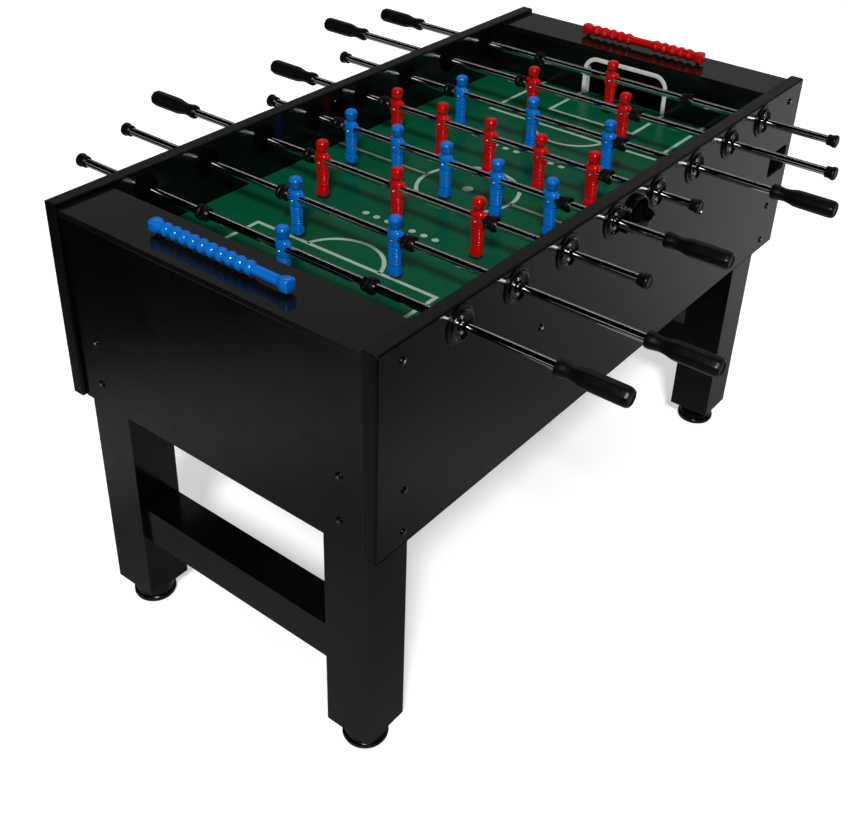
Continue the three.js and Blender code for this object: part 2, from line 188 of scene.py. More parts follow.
def spread(tree, value, low, high):
    """A number from low to high as a value goes from 0.3 to 0.7."""
    node = tree.nodes.new("ShaderNodeMapRange")
    node.inputs["From Min"].default_value = 0.3
    node.inputs["From Max"].default_value = 0.7
    node.inputs["To Min"].default_value = low
    node.inputs["To Max"].default_value = high
    tree.links.new(value, node.inputs["Value"])
    return node.outputs["Result"]


def bump(tree, shader, height, distance, strength=1.0, under=None):
    """Surface relief of a height in metres, over any relief made before."""
    node = tree.nodes.new("ShaderNodeBump")
    node.inputs["Distance"].default_value = distance
    node.inputs["Strength"].default_value = strength
    tree.links.new(height, node.inputs["Height"])
    if under:
        tree.links.new(under, node.inputs["Normal"])
    tree.links.new(node.outputs["Normal"], shader.inputs["Normal"])
    return node.outputs["Normal"]


def laminate(name, low, high, roughness, grain=0.00003, shine=0.35):
    """Black laminate: a pearl grain under the finger, and faint clouds in its tone and its gloss."""
    material, tree, shader, place = node_tree(name)
    shader.inputs["Specular IOR Level"].default_value = shine
    clouds = noise(tree, place, 7)
    tree.links.new(ramp(tree, clouds, low, high), shader.inputs["Base Color"])
    tree.links.new(spread(tree, noise(tree, place, 22, 4), *roughness), shader.inputs["Roughness"])
    bump(tree, shader, noise(tree, place, 1400, 2), grain)
    return material


def moulded(name, low, high, roughness, grain_scale=900, grain=0.00004, coat=0.0, shine=0.5):
    """Injection-moulded plastic with a fine spark-eroded grain."""
    material, tree, shader, place = node_tree(name)
    shader.inputs["Specular IOR Level"].default_value = shine
    shader.inputs["Coat Weight"].default_value = coat
    shader.inputs["Coat Roughness"].default_value = 0.06
    tree.links.new(ramp(tree, noise(tree, place, 40), low, high), shader.inputs["Base Color"])
    tree.links.new(spread(tree, noise(tree, place, 120, 4), *roughness), shader.inputs["Roughness"])
    bump(tree, shader, noise(tree, place, grain_scale, 2), grain)
    return material


def chrome(name):
    """Chrome plate on drawn tube: faint polishing lines round the tube and a slight haze."""
    material, tree, shader, place = node_tree(name)
    shader.inputs["Metallic"].default_value = 1.0
    haze = noise(tree, place, 30, 4)
    tree.links.new(ramp(tree, haze, (0.70, 0.71, 0.73), (0.80, 0.81, 0.83)), shader.inputs["Base Color"])
    lines = noise(tree, place, 60, 3, stretch=(1, 30, 1))
    tree.links.new(spread(tree, lines, 0.04, 0.10), shader.inputs["Roughness"])
    bump(tree, shader, lines, 0.000006)
    return material


def zinc(name):
    """Bright zinc-plated screw steel, slightly uneven."""
    material, tree, shader, place = node_tree(name)
    shader.inputs["Metallic"].default_value = 1.0
    stain = noise(tree, place, 300, 3)
    tree.links.new(ramp(tree, stain, (0.55, 0.56, 0.58), (0.82, 0.82, 0.82)), shader.inputs["Base Color"])
    tree.links.new(spread(tree, noise(tree, place, 500), 0.18, 0.36), shader.inputs["Roughness"])
    bump(tree, shader, noise(tree, place, 2500, 2), 0.00002)
    return material


def printed(name, low, high, roughness):
    """Ink under a satin lacquer, with the board's slight waviness."""
    material, tree, shader, place = node_tree(name)
    shader.inputs["Specular IOR Level"].default_value = 0.11
    tree.links.new(ramp(tree, noise(tree, place, 5, 5), low, high), shader.inputs["Base Color"])
    tree.links.new(spread(tree, noise(tree, place, 15, 4), *roughness), shader.inputs["Roughness"])
    fine = bump(tree, shader, noise(tree, place, 1100, 2), 0.00003)
    bump(tree, shader, noise(tree, place, 9, 1), 0.0001, 0.5, under=fine)
    return material


LAMINATE = laminate("black_laminate", (0.0010, 0.0009, 0.0010), (0.0017, 0.0015, 0.0016), (0.14, 0.19),
                    grain=0.000015)
EDGE_BAND = laminate("black_edge_band", (0.0012, 0.0011, 0.0011), (0.0018, 0.0017, 0.0017),
                     (0.26, 0.34), shine=0.28)
SHELF = laminate("shelf_laminate", (0.0030, 0.0026, 0.0024), (0.0042, 0.0036, 0.0033), (0.09, 0.14),
                 grain=0.000008)
BLACK = moulded("black_plastic", (0.0008, 0.0008, 0.0008), (0.0016, 0.0016, 0.0016), (0.13, 0.20),
                shine=0.40)
GRIP = moulded("grip_plastic", (0.0012, 0.0012, 0.0012), (0.0024, 0.0024, 0.0024), (0.28, 0.38),
               shine=0.30)
DULL = moulded("dull_black_plastic", (0.0008, 0.0008, 0.0008), (0.0016, 0.0016, 0.0016), (0.50, 0.60),
               shine=0.0)
RUBBER = moulded("black_rubber", (0.0010, 0.0010, 0.0010), (0.0022, 0.0022, 0.0022), (0.34, 0.46),
                 grain_scale=500, grain=0.00006, shine=0.35)
BLUE = moulded("blue_plastic", (0.0002, 0.104, 0.41), (0.0006, 0.120, 0.46), (0.30, 0.38),
               grain_scale=700, grain=0.00002, coat=1.0, shine=0.10)
RED = moulded("red_plastic", (0.34, 0.0005, 0.0008), (0.40, 0.0010, 0.0014), (0.30, 0.38),
              grain_scale=700, grain=0.00002, coat=1.0, shine=0.10)
WHITE = moulded("white_plastic", (0.50, 0.50, 0.48), (0.58, 0.58, 0.56), (0.30, 0.40))
CHROME = chrome("chromed_steel")
ZINC = zinc("zinc_plated_steel")
FIELD = printed("green_field", (0.0008, 0.055, 0.023), (0.0012, 0.064, 0.028), (0.24, 0.32))
PRINT = printed("white_print", (0.24, 0.34, 0.27), (0.29, 0.39, 0.32), (0.28, 0.36))
TEAM = {"blue": BLUE, "red": RED}

# ------------------------------------------------------------------ mesh helpers


def skin(bm, rings, closed=False):
    """Joins rings of points into a surface. Its ends are capped unless the rings close on themselves."""
    rows = [[bm.verts.new(point) for point in ring] for ring in rings]
    pairs = list(zip(rows, rows[1:]))
    if closed:
        pairs.append((rows[-1], rows[0]))
    count = len(rows[0])
    for near, far in pairs:
        for i in range(count):
            j = (i + 1) % count
            bm.faces.new((near[i], near[j], far[j], far[i]))
    if not closed:
        bm.faces.new(rows[0])
        bm.faces.new(rows[-1])


def circle(radius, height, count=40):
    """A ring about the Y axis."""
    turns = [2 * pi * i / count for i in range(count)]
    return [Vector((radius * cos(t), height, radius * sin(t))) for t in turns]


def turn(bm, profile, count=40):
    """Turns a profile of (radius, place along Y) about the Y axis. A closed profile makes a hollow piece."""
    closed = profile[0] == profile[-1]
    points = profile[:-1] if closed else profile
    skin(bm, [circle(radius, height, count) for radius, height in points], closed)


def finish_mesh(name, bm, sharp=32):
    """A mesh from a bmesh, smooth but for its sharp edges."""
    bmesh.ops.remove_doubles(bm, verts=bm.verts, dist=1e-7)
    bmesh.ops.recalc_face_normals(bm, faces=bm.faces)
    mesh = bpy.data.meshes.new(name)
    bm.to_mesh(mesh)
    bm.free()
    mesh.shade_smooth()
    mesh.set_sharp_from_angle(angle=radians(sharp))
    return mesh


def turned_mesh(name, *profiles, count=40):
    bm = bmesh.new()
    for profile in profiles:
        turn(bm, profile, count)
    return finish_mesh(name, bm)


def superellipse(half_x, half_y, power, z, shift_x=0.0, shift_y=0.0, count=20):
    """A rounded-square ring round Z. Power 2 is an ellipse, and more is squarer."""
    ring = []
    for i in range(count):
        t = 2 * pi * i / count
        x = half_x * copysign(abs(cos(t)) ** (2 / power), cos(t))
        y = half_y * copysign(abs(sin(t)) ** (2 / power), sin(t))
        ring.append(Vector((x + shift_x, y + shift_y, z)))
    return ring


def arc(centre, radius, start, end, steps=16):
    """Points on an arc, between two angles in degrees."""
    angles = [radians(start + (end - start) * i / steps) for i in range(steps + 1)]
    return [(centre[0] + radius * cos(a), centre[1] + radius * sin(a)) for a in angles]


def rectangle(left, right, bottom, top, corner=0.0, steps=6):
    """A closed outline, with round corners if corner is given."""
    if not corner:
        return [(left, bottom), (right, bottom), (right, top), (left, top)]
    points = []
    for x, y, start in (
        (right - corner, bottom + corner, -90),
        (right - corner, top - corner, 0),
        (left + corner, top - corner, 90),
        (left + corner, bottom + corner, 180),
    ):
        points += arc((x, y), corner, start, start + 90, steps)
    return points


def arch(radius, centre, bottom, steps=24):
    """An opening with a half-round top."""
    return [(-radius, bottom), (radius, bottom), *arc((0, centre), radius, 0, 180, steps)]


PLANES = {
    "XY": Matrix.Identity(4),
    "XZ": Matrix(((1, 0, 0, 0), (0, 0, -1, 0), (0, 1, 0, 0), (0, 0, 0, 1))),
    "YZ": Matrix(((0, 0, 1, 0), (1, 0, 0, 0), (0, 1, 0, 0), (0, 0, 0, 1))),
}


def board_mesh(name, plane, outline, holes, low, high, edge):
    """A flat board with eased edges. The outline is in the named plane, and low and high are its faces."""
    curve = bpy.data.curves.new(name, "CURVE")
    curve.dimensions = "2D"
    curve.fill_mode = "BOTH"
    curve.extrude = (high - low) / 2 - edge
    curve.bevel_depth = edge
    curve.bevel_resolution = 2
    curve.offset = -edge
    for loop in (outline, *holes):
        spline = curve.splines.new("POLY")
        spline.points.add(len(loop) - 1)
        for point, (u, v) in zip(spline.points, loop):
            point.co = (u, v, 0, 1)
        spline.use_cyclic_u = True
    holder = bpy.data.objects.new(name, curve)
    scene.collection.objects.link(holder)
    bpy.context.view_layer.update()
    mesh = bpy.data.meshes.new_from_object(holder.evaluated_get(bpy.context.evaluated_depsgraph_get()))
    bpy.data.objects.remove(holder)
    bm = bmesh.new()
    bm.from_mesh(mesh)
    middle = (low + high) / 2 * (-1 if plane == "XZ" else 1)
    bm.transform(PLANES[plane] @ Matrix.Translation((0, 0, middle)))
    bmesh.ops.remove_doubles(bm, verts=bm.verts, dist=1e-6)
    return finish_mesh(name, bm, 60)


def joined(name, *meshes):
    """One mesh of several."""
    bm = bmesh.new()
    for mesh in meshes:
        bm.from_mesh(mesh)
    result = bpy.data.meshes.new(name)
    bm.to_mesh(result)
    bm.free()
    return result


def add_piece(name, mesh, material, body, at=(0, 0, 0), turn_z=0.0, cad=None, local=None):
    """An object of the table, riding a CAD body, and standing for a CAD node if one is named.

    It is put at a place and turned about Z, after its own local matrix if there is one.
    """
    piece = bpy.data.objects.new(name, mesh)
    scene.collection.objects.link(piece)
    if not mesh.materials:
        mesh.materials.append(material)
    piece.matrix_world = Matrix.Translation(at) @ Matrix.Rotation(turn_z, 4, "Z")
    if local:
        piece.matrix_world = piece.matrix_world @ local
    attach(piece, body)
    if cad:
        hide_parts(cad)
    return piece


def ease(piece, width, segments=2):
    """Rounds the piece's hard edges a little, and keeps its flat faces flat."""
    weld = piece.modifiers.new("weld", "WELD")
    weld.merge_threshold = 1e-6
    bevel = piece.modifiers.new("ease", "BEVEL")
    bevel.width = width
    bevel.segments = segments
    bevel.limit_method = "ANGLE"
    bevel.angle_limit = radians(35)
    bevel.use_clamp_overlap = True
    keep_flat(piece)


def keep_flat(piece):
    """Lets large flat faces set the shading at their edges."""
    piece.modifiers.new("flat", "WEIGHTED_NORMAL").keep_sharp = True


def mark_edges(mesh, axis):
    """Puts the second material on a board's edges, which are the faces that don't look along an axis."""
    mesh.materials.clear()
    mesh.materials.append(LAMINATE)
    mesh.materials.append(EDGE_BAND)
    for polygon in mesh.polygons:
        polygon.material_index = int(abs(polygon.normal[axis]) < 0.9)


# ------------------------------------------------------------------ cabinet

FRONT_LOW, FRONT_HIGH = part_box("side_panel_front")
FIELD_LOW, FIELD_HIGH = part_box("playing_field")
FIELD_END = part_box("shelf_red_end")[0].x
FIELD_TOP = FIELD_HIGH.z
ROD_NAMES = [name[:-4] for name in frame["bodies"] if name.endswith("_rod")]


def middle_of(node):
    low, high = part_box(node)
    return (low + high) / 2


def handle_side(rod):
    """-1 where the rod's handle is in front, and 1 where it is at the back."""
    return int(copysign(1, middle_of(f"{rod}_handle").y))


def rod_axis(rod):
    """X and Z of a rod's axis."""
    centre = middle_of(f"{rod}_bush")
    return centre.x, centre.z


def build_side_panel(side):
    """A long panel with its rod holes, return slot and serving hole."""
    sign = -1 if side == "front" else 1
    holes = []
    for rod in ROD_NAMES:
        radius = BUSH_HOLE if handle_side(rod) == sign else PLAIN_HOLE
        centre = rod_axis(rod)
        holes.append(arc(centre, radius + PANEL_EDGE / 2, 0, 345, 23))
    left, right, bottom, top = SLOT_EDGES
    if sign > 0:
        left, right = -right, -left
    holes.append(rectangle(left, right, bottom, top, 4 * MM))
    holes.append(arch(CUP_HOLE, CUP_CENTRE, CUP_FLOOR))
    outline = rectangle(FRONT_LOW.x, FRONT_HIGH.x, FRONT_LOW.z, FRONT_HIGH.z, 2 * MM)
    low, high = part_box(f"side_panel_{side}")
    name = f"side_panel_{side}_board"
    mesh = board_mesh(name, "XZ", outline, holes, low.y, high.y, PANEL_EDGE)
    mark_edges(mesh, 1)
    piece = add_piece(name, mesh, LAMINATE, "cabinet", cad=f"side_panel_{side}")
    keep_flat(piece)


def goal_outline(margin):
    """The goal mouth's outline in the Y-Z plane, grown by a margin."""
    half = GOAL_HALF_WIDTH + margin
    top = FIELD_TOP + GOAL_HEIGHT + margin
    corner = GOAL_CORNER + margin
    return [
        (half, FIELD_TOP + 0.3 * MM),
        *arc((half - corner, top - corner), corner, 0, 90, 10),
        *arc((-half + corner, top - corner), corner, 90, 180, 10),
        (-half, FIELD_TOP + 0.3 * MM),
    ]


def build_goal(end, sign):
    """The wall behind the field, and the white frame that lines its goal mouth."""
    low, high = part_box(f"goal_wall_{end}_end")
    inner, outer = FIELD_END, FIELD_END + 15 * MM
    wall_outline = [(high.y, low.z), (high.y, high.z), (low.y, high.z), (low.y, low.z)]
    wall_outline += list(reversed(goal_outline(GOAL_LINING)))
    wall = board_mesh(f"goal_wall_{end}_board", "YZ", wall_outline, [], inner, outer, 0.6 * MM)
    mark_edges(wall, 0)
    turn_z = 0 if sign > 0 else pi
    piece = add_piece(wall.name, wall, LAMINATE, "cabinet", turn_z=turn_z,
                      cad=f"goal_wall_{end}_end")
    keep_flat(piece)

    flange_outline = goal_outline(GOAL_BAND) + list(reversed(goal_outline(0)))
    lining_outline = goal_outline(GOAL_LINING) + list(reversed(goal_outline(0)))
    flange = board_mesh("flange", "YZ", flange_outline, [], inner - 2 * MM, inner + 0.4 * MM, 1.1 * MM)
    lining = board_mesh("lining", "YZ", lining_outline, [], inner - 1.5 * MM, outer + 1 * MM, 0.5 * MM)
    name = f"goal_frame_{end}"
    piece = add_piece(name, joined(name, flange, lining), WHITE, "cabinet", turn_z=turn_z)
    keep_flat(piece)


def stroke(points, closed=False):
    """A printed line of even width along points in the X-Y plane, as two edges of points."""
    count = len(points)
    edges = ([], [])
    for i, (x, y) in enumerate(points):
        before = points[i - 1] if i or closed else points[i]
        after = points[(i + 1) % count] if i < count - 1 or closed else points[i]
        way_in = Vector((x - before[0], y - before[1]))
        way_out = Vector((after[0] - x, after[1] - y))
        way_in = (way_in if way_in.length else way_out).normalized()
        way_out = (way_out if way_out.length else way_in).normalized()
        along = (way_in + way_out).normalized()
        across = Vector((-along.y, along.x)) * LINE / 2 / max(0.5, along.dot(way_in))
        edges[0].append((x + across.x, y + across.y))
        edges[1].append((x - across.x, y - across.y))
    return edges


def build_field():
    """The green board, and its white print as a film of ink."""
    low, high = FIELD_LOW, FIELD_HIGH
    name = "playing_field_board"
    outline = rectangle(low.x, high.x, low.y, high.y)
    mesh = board_mesh(name, "XY", outline, [], low.z, high.z, 0.5 * MM)
    piece = add_piece(name, mesh, FIELD, "cabinet", cad="playing_field")
    keep_flat(piece)

    side = high.y
    strokes = [
        (stroke([(0, -side), (0, -CIRCLE_RADIUS)]), False),
        (stroke([(0, CIRCLE_RADIUS), (0, side)]), False),
        (stroke(arc((0, 0), CIRCLE_RADIUS, 0, 355, 71), True), True),
    ]
    spots = [(0, 0, SPOT_RADIUS)]
    bulge = math.degrees(math.acos((ARC_CENTRE_X - BOX_X) / ARC_RADIUS))
    for sign in (-1, 1):
        goal = sign * FIELD_END
        for x, y in ((BOX_X, BOX_Y), (AREA_X, AREA_Y)):
            corners = [(goal, -y), (sign * x, -y), (sign * x, y), (goal, y)]
            strokes.append((stroke(corners), False))
        facing = 180 if sign > 0 else 0
        curve = arc((sign * ARC_CENTRE_X, 0), ARC_RADIUS, facing - bulge, facing + bulge, 40)
        strokes.append((stroke(curve), False))
        spots += [(sign * DOT_X, way * y, DOT_RADIUS) for y in DOT_YS for way in (-1, 1)]

    bm = bmesh.new()
    height = high.z + 0.12 * MM
    for (left, right), closed in strokes:
        one = [bm.verts.new((x, y, height)) for x, y in left]
        two = [bm.verts.new((x, y, height)) for x, y in right]
        steps = len(one) if closed else len(one) - 1
        for i in range(steps):
            j = (i + 1) % len(one)
            bm.faces.new((one[i], two[i], two[j], one[j]))
    for x, y, radius in spots:
        bm.faces.new([bm.verts.new((u, v, height)) for u, v in arc((x, y), radius, 0, 350, 35)])
    for face in bm.faces:
        if face.normal.z < 0:
            face.normal_flip()
    mesh = bpy.data.meshes.new("field_lines")
    bm.to_mesh(mesh)
    bm.free()
    add_piece("field_lines", mesh, PRINT, "cabinet")


def build_plain_boards():
    """The CAD boards and posts that are right as they are get eased edges and a finish."""
    finishes = {
        "end_panel": (LAMINATE, BOARD_EDGE),
        "shelf": (SHELF, BOARD_EDGE),
        "leg": (LAMINATE, 1.6 * MM),
        "stretcher": (LAMINATE, 1.6 * MM),
        "ball_chute": (BLACK, 1 * MM),
    }
    for name, node in frame["nodes"].items():
        for start, (material, width) in finishes.items():
            if name.startswith(start):
                node.data.materials.clear()
                node.data.materials.append(material)
                ease(node, width)


def build_cup(side):
    """Serving cup: a half bowl outside the panel, with an arched plate and a raised rim on the panel."""
    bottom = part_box(f"serving_cup_{side}")[0].z
    face = FRONT_LOW.y - 0.3 * MM
    outer = [
        (0, bottom),
        (CUP_BASE_RADIUS - 8 * MM, bottom),
        (CUP_BASE_RADIUS - 2 * MM, bottom + 1.5 * MM),
        (CUP_BASE_RADIUS, bottom + 4 * MM),
        (CUP_RADIUS - 1.5 * MM, CUP_RIM - 5 * MM),
        (CUP_RADIUS + 0.5 * MM, CUP_RIM - 3 * MM),
        (CUP_RADIUS + 0.5 * MM, CUP_RIM - 0.5 * MM),
        (CUP_RADIUS - 0.5 * MM, CUP_RIM),
        (CUP_RADIUS - CUP_WALL, CUP_RIM - 0.5 * MM),
        (CUP_BASE_RADIUS + 1 * MM, CUP_FLOOR + 3 * MM),
        (CUP_BASE_RADIUS - 6 * MM, CUP_FLOOR),
        (0, CUP_FLOOR),
    ]
    bm = bmesh.new()
    steps = 24
    rings = []
    for i in range(steps + 1):
        t = pi + pi * i / steps
        rings.append([Vector((r * cos(t), face + r * sin(t), z)) for r, z in outer])
    skin(bm, rings)
    bowl = finish_mesh("bowl", bm)
    hole = arch(CUP_HOLE, CUP_CENTRE, CUP_FLOOR)
    plate_outline = arch(CUP_PLATE, CUP_CENTRE, bottom + 4 * MM)
    rim_inner = arch(CUP_PLATE - 5 * MM, CUP_CENTRE, bottom + 10 * MM)
    plate = board_mesh("plate", "XZ", plate_outline, [hole], face - 4 * MM, face, 0.8 * MM)
    rim = board_mesh("rim", "XZ", plate_outline, [rim_inner], face - 10 * MM, face - 1 * MM, 2 * MM)
    name = f"serving_cup_{side}_moulding"
    turn_z = 0 if side == "front" else pi
    piece = add_piece(name, joined(name, bowl, plate, rim), BLACK, "cabinet",
                      turn_z=turn_z, cad=f"serving_cup_{side}")
    keep_flat(piece)


def build_foot(name):
    """Round levelling foot with a lip at the floor."""
    low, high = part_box(name)
    radius = (high.x - low.x) / 2
    tall = high.z
    profile = [
        (0, 0),
        (radius - 5 * MM, 0),
        (radius - 1.5 * MM, 1.5 * MM),
        (radius, 5 * MM),
        (radius, 11 * MM),
        (radius - 1.5 * MM, 13 * MM),
        (radius - 3.5 * MM, 14 * MM),
        (radius - 4 * MM, 17 * MM),
        (radius - 4 * MM, tall - 8 * MM),
        (radius - 8 * MM, tall),
        (0, tall),
    ]
    mesh = turned_mesh(f"{name}_pad", profile, count=64)
    mesh.transform(Matrix.Rotation(pi / 2, 4, "X"))
    centre = (low + high) / 2
    piece = add_piece(f"{name}_pad", mesh, BLACK, name, at=(centre.x, centre.y, 0), cad=name)
    keep_flat(piece)


# ------------------------------------------------------------------ screws and bolts


def hexagon(radius, height, count=24):
    """A hexagon about Y, with as many points as the circle that it joins."""
    ring = []
    for i in range(count):
        t = 2 * pi * i / count
        side = cos(pi / 6) / cos((t % (pi / 3)) - pi / 6)
        ring.append(Vector((radius * side * cos(t), height, radius * side * sin(t))))
    return ring


def bolt_mesh(name, head, radius, height, socket):
    """Round bolt head that points along -Y, with a hexagon socket showing bright steel."""
    bm = bmesh.new()
    dome = [circle(radius * cos(t), -height * (0.1 + 0.9 * sin(t)), 24)
            for t in (radians(12 * i) for i in range(6))]
    skin(bm, [
        circle(radius, 0.2 * MM, 24),
        *dome,
        hexagon(socket, -height * 0.92, 24),
        hexagon(socket, -height * 0.4, 24),
    ])
    mesh = finish_mesh(name, bm)
    mesh.materials.append(head)
    mesh.materials.append(ZINC)
    for polygon in mesh.polygons:
        inside = max(Vector((v.x, v.z)).length for v in (mesh.vertices[i].co for i in polygon.vertices))
        polygon.material_index = int(inside <= socket * 1.01)
    return mesh


def build_bolts():
    """Cabinet bolts: into the legs, shelves and bearers, and one on each leg, facing its pair.

    The places are for half of the table. The other half has them turned half a turn.
    """
    mesh = bolt_mesh("cabinet_bolt", BLACK, BOLT_RADIUS, BOLT_HEIGHT, BOLT_SOCKET)
    front = FRONT_LOW.y
    bottom = FRONT_LOW.z
    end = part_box("end_panel_red_end")[1].x
    leg_low, leg_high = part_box("leg_front_red_end")
    leg_x = (leg_low.x + leg_high.x) / 2
    places = []
    for sign in (-1, 1):
        places += [
            (sign * leg_x, front, bottom + LOW_BOLTS, 0),
            (sign * leg_x, front, bottom + HIGH_BOLTS, 0),
            (sign * (leg_x + SHELF_BOLT_SHIFT), front, FRONT_HIGH.z - SHELF_BOLT_DROP, 0),
            (sign * BEARER_BOLT_X, front, FIELD_LOW.z - BEARER_BOLT_DROP, 0),
            (sign * leg_x, -leg_high.y, middle_of("stretcher_red_end").z, 0),
        ]
    for way in (-1, 1):
        places += [
            (end, way * END_BOLT_Y, bottom + END_LOW_BOLTS, pi / 2),
            (end, way * END_BOLT_Y, bottom + END_HIGH_BOLTS, pi / 2),
        ]
    for half in (0, pi):
        for number, (x, y, z, facing) in enumerate(places, 1):
            spot = Matrix.Rotation(half, 4, "Z") @ Vector((x, y, z))
            side = "red" if half == 0 else "blue"
            name = f"cabinet_bolt_{side}_{number}"
            add_piece(name, mesh, BLACK, "cabinet", at=spot, turn_z=half + facing)


# ------------------------------------------------------------------ bearings


def outer_flange_profile(bore):
    """The flange outside, along -Y from the panel's face at 0: a plate with a ring round a dish."""
    ring = 25 * MM
    return [
        (bore, 0.3 * MM),
        (FLANGE_RADIUS, 0.3 * MM),
        (FLANGE_RADIUS, -2.0 * MM),
        (FLANGE_RADIUS - 1 * MM, -3.0 * MM),
        (ring + 4 * MM, -3.2 * MM),
        (ring + 2.6 * MM, -4.2 * MM),
        (ring + 1.4 * MM, -6.4 * MM),
        (ring, -7.0 * MM),
        (ring - 1.6 * MM, -6.6 * MM),
        (ring - 4 * MM, -4.4 * MM),
        (ring - 6 * MM, -DISH_DEPTH),
        (bore + 1.2 * MM, -DISH_DEPTH),
        (bore, -DISH_DEPTH + 0.6 * MM),
        (bore, 0.3 * MM),
    ]


def inner_flange_profile(bore):
    """The flange inside the cabinet, with a thick collar that a stop runs up to."""
    return [
        (bore, 0.3 * MM),
        (INNER_FLANGE_RADIUS, 0.3 * MM),
        (INNER_FLANGE_RADIUS, -1.8 * MM),
        (INNER_FLANGE_RADIUS - 1.5 * MM, -3.2 * MM),
        (22 * MM, -4.6 * MM),
        (19 * MM, -7.5 * MM),
        (17.5 * MM, -10.5 * MM),
        (15.5 * MM, -12.4 * MM),
        (bore, -12.4 * MM),
        (bore, 0.3 * MM),
    ]


def build_bearings(screw):
    """Each rod's bearings: a sleeve in the handle side's panel, and a flange on each panel face."""
    outer_face = -FRONT_LOW.y
    inner_face = -FRONT_HIGH.y
    flanges = {}
    for kind, bore in (("sleeve", BUSH_HOLE - 0.1 * MM), ("plain", SLEEVE_BORE)):
        flanges[kind, "outer"] = turned_mesh(f"flange_outer_{kind}", outer_flange_profile(bore), count=56)
        flanges[kind, "inner"] = turned_mesh(f"flange_inner_{kind}", inner_flange_profile(bore), count=56)
    low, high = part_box(f"{ROD_NAMES[0]}_bush")
    sleeve_radius = (high.x - low.x) / 2
    chamfer = 1.2 * MM
    sleeve = turned_mesh("sleeve", [
        (SLEEVE_BORE, low.y),
        (sleeve_radius - chamfer, low.y),
        (sleeve_radius, low.y + chamfer),
        (sleeve_radius, high.y - chamfer),
        (sleeve_radius - chamfer, high.y),
        (SLEEVE_BORE, high.y),
        (SLEEVE_BORE, low.y),
    ])
    for rod in ROD_NAMES:
        x, z = rod_axis(rod)
        handle = handle_side(rod)
        turn_sleeve = 0 if handle < 0 else pi
        add_piece(f"{rod}_sleeve", sleeve, DULL, f"{rod}_bush", at=(x, 0, z),
                  turn_z=turn_sleeve, cad=f"{rod}_bush")
        for side, name in ((-1, "front"), (1, "back")):
            kind = "sleeve" if side == handle else "plain"
            turn_out = 0 if side < 0 else pi
            piece = add_piece(f"{rod}_flange_outer_{name}", flanges[kind, "outer"], BLACK, "cabinet",
                              at=(x, side * outer_face, z), turn_z=turn_out)
            keep_flat(piece)
            piece = add_piece(f"{rod}_flange_inner_{name}", flanges[kind, "inner"], DULL, "cabinet",
                              at=(x, side * inner_face, z), turn_z=turn_out + pi)
            keep_flat(piece)
            for way, level in ((1, "top"), (-1, "bottom")):
                spot = (x, side * (outer_face + DISH_DEPTH), z + way * FLANGE_SCREWS)
                add_piece(f"{rod}_flange_screw_{name}_{level}", screw, ZINC, "cabinet",
                          at=spot, turn_z=turn_out)


# ------------------------------------------------------------------ rods


def octagon_ring(radius, height, facets, count=40):
    """A ring about Y between a circle, at facets 0, and an octagon, at facets 1."""
    ring = []
    for i in range(count):
        t = 2 * pi * i / count
        flat = cos(pi / 8) / cos(((t + pi / 8) % (pi / 4)) - pi / 8)
        size = radius * (1 - facets + facets * flat)
        ring.append(Vector((size * cos(t), height, size * sin(t))))
    return ring


def handle_mesh():
    """Grip along -Y: flared collar, waist, and a long eight-sided barrel with a dished end."""
    # Radius, distance from the collar, and how far it is from a circle to an octagon.
    shape = [
        (12.6, 0, 0.2), (14.0, 0.8, 0.3), (14.4, 2.5, 0.4), (14.4, 9, 0.4), (13.4, 14, 0.4),
        (12.3, 22, 0.5), (12.3, 28, 0.6), (13.4, 35, 0.9), (15.2, 42, 1), (16.2, 47, 1), (16.6, 53, 1),
        (16.8, 108, 1), (16.6, 116, 1), (15.6, 120, 1), (13.8, 122.4, 0.8), (12, 123, 0.6),
        (10.8, 122.6, 0.3), (9.8, 121.4, 0),
    ]
    rings = [octagon_ring(radius * MM, -place * MM, facets) for radius, place, facets in shape]
    socket = [octagon_ring(SLEEVE_BORE, -place, 0) for place in (0, HANDLE_SOCKET)]
    bm = bmesh.new()
    skin(bm, [socket[1], socket[0], *rings])
    return finish_mesh("handle", bm, 28)


def end_cap_mesh():
    """Flared cap on the free end of the tube, pointing along +Y."""
    shape = [
        (8.4, 15), (8.4, 0), (10.6, 0), (11.3, 0.8), (11.2, 6), (11.6, 10), (13.0, 13),
        (13.3, 15.5), (13.0, 18), (11.8, 19.5), (10.4, 20), (9.6, 19.2), (0, 19.2),
    ]
    profile = [(radius * MM, place * MM) for radius, place in [(0, 15), *shape]]
    return turned_mesh("end_cap", profile)


def stop_mesh():
    """Rubber bumper and its clamping ring, side by side on the rod."""
    half = STOP_LENGTH / 2
    bore = ROD_RADIUS + 0.1 * MM
    bumper = [
        (bore, -half), (11.5 * MM, -half), (13.6 * MM, -half + 1 * MM), (14.4 * MM, -half + 3 * MM),
        (14.4 * MM, -2.5 * MM), (13.4 * MM, -1 * MM), (bore, -1 * MM), (bore, -half),
    ]
    ring = [
        (bore, -0.6 * MM), (11.6 * MM, -0.6 * MM), (12.8 * MM, 0.6 * MM), (13.2 * MM, 2.4 * MM),
        (13.2 * MM, half - 2 * MM), (12.2 * MM, half), (bore, half), (bore, -0.6 * MM),
    ]
    return turned_mesh("rod_stop", bumper, ring)


